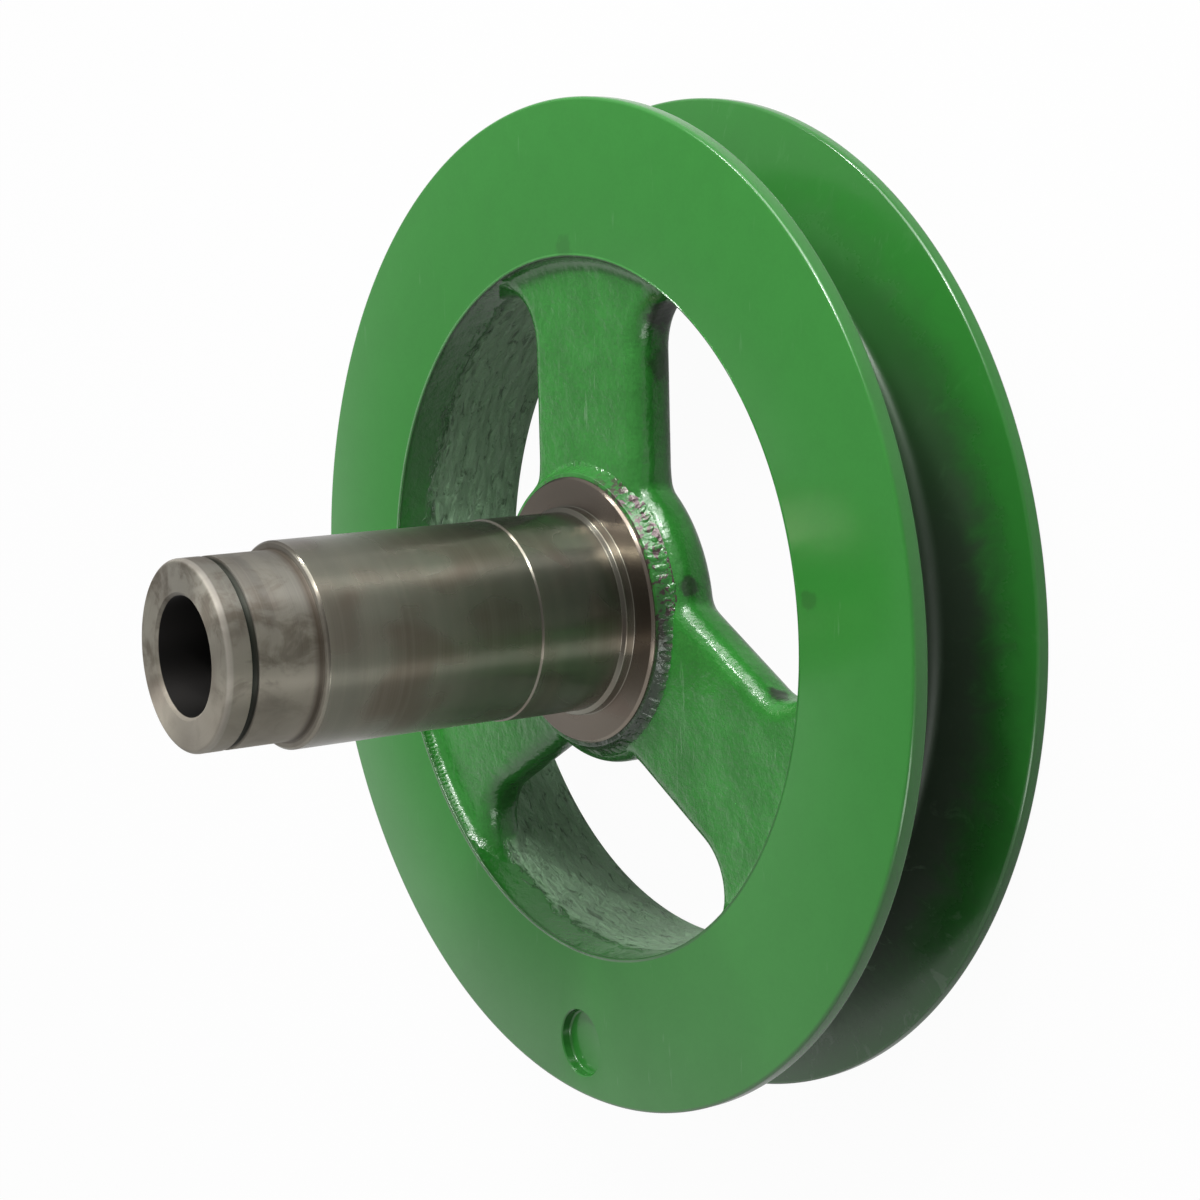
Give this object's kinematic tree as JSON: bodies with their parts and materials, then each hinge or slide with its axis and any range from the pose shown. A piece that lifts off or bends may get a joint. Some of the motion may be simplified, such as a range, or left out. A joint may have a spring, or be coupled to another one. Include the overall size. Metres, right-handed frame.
{
  "type": "belt pulley",
  "caption": "Green cast V-belt pulley with flat rounded spokes, fixed on a hollow turned steel quill that has two bearing seats and a retaining ring groove.",
  "frame": {"origin": "centre of the rim's back face, on the wheel's axis", "axes": "+Z along the axis towards the quill's free end, +Y along the middle of one spoke"},
  "size_m": [0.254, 0.254, 0.1487],
  "materials": {
    "green_enamel": "gloss enamel over rough casting",
    "turned_steel": "turned, dull grey with a brown tint"
  },
  "bodies": {
    "root": {"cast_wheel": "green_enamel", "bearing_quill": "turned_steel"}
  },
  "joints": []
}
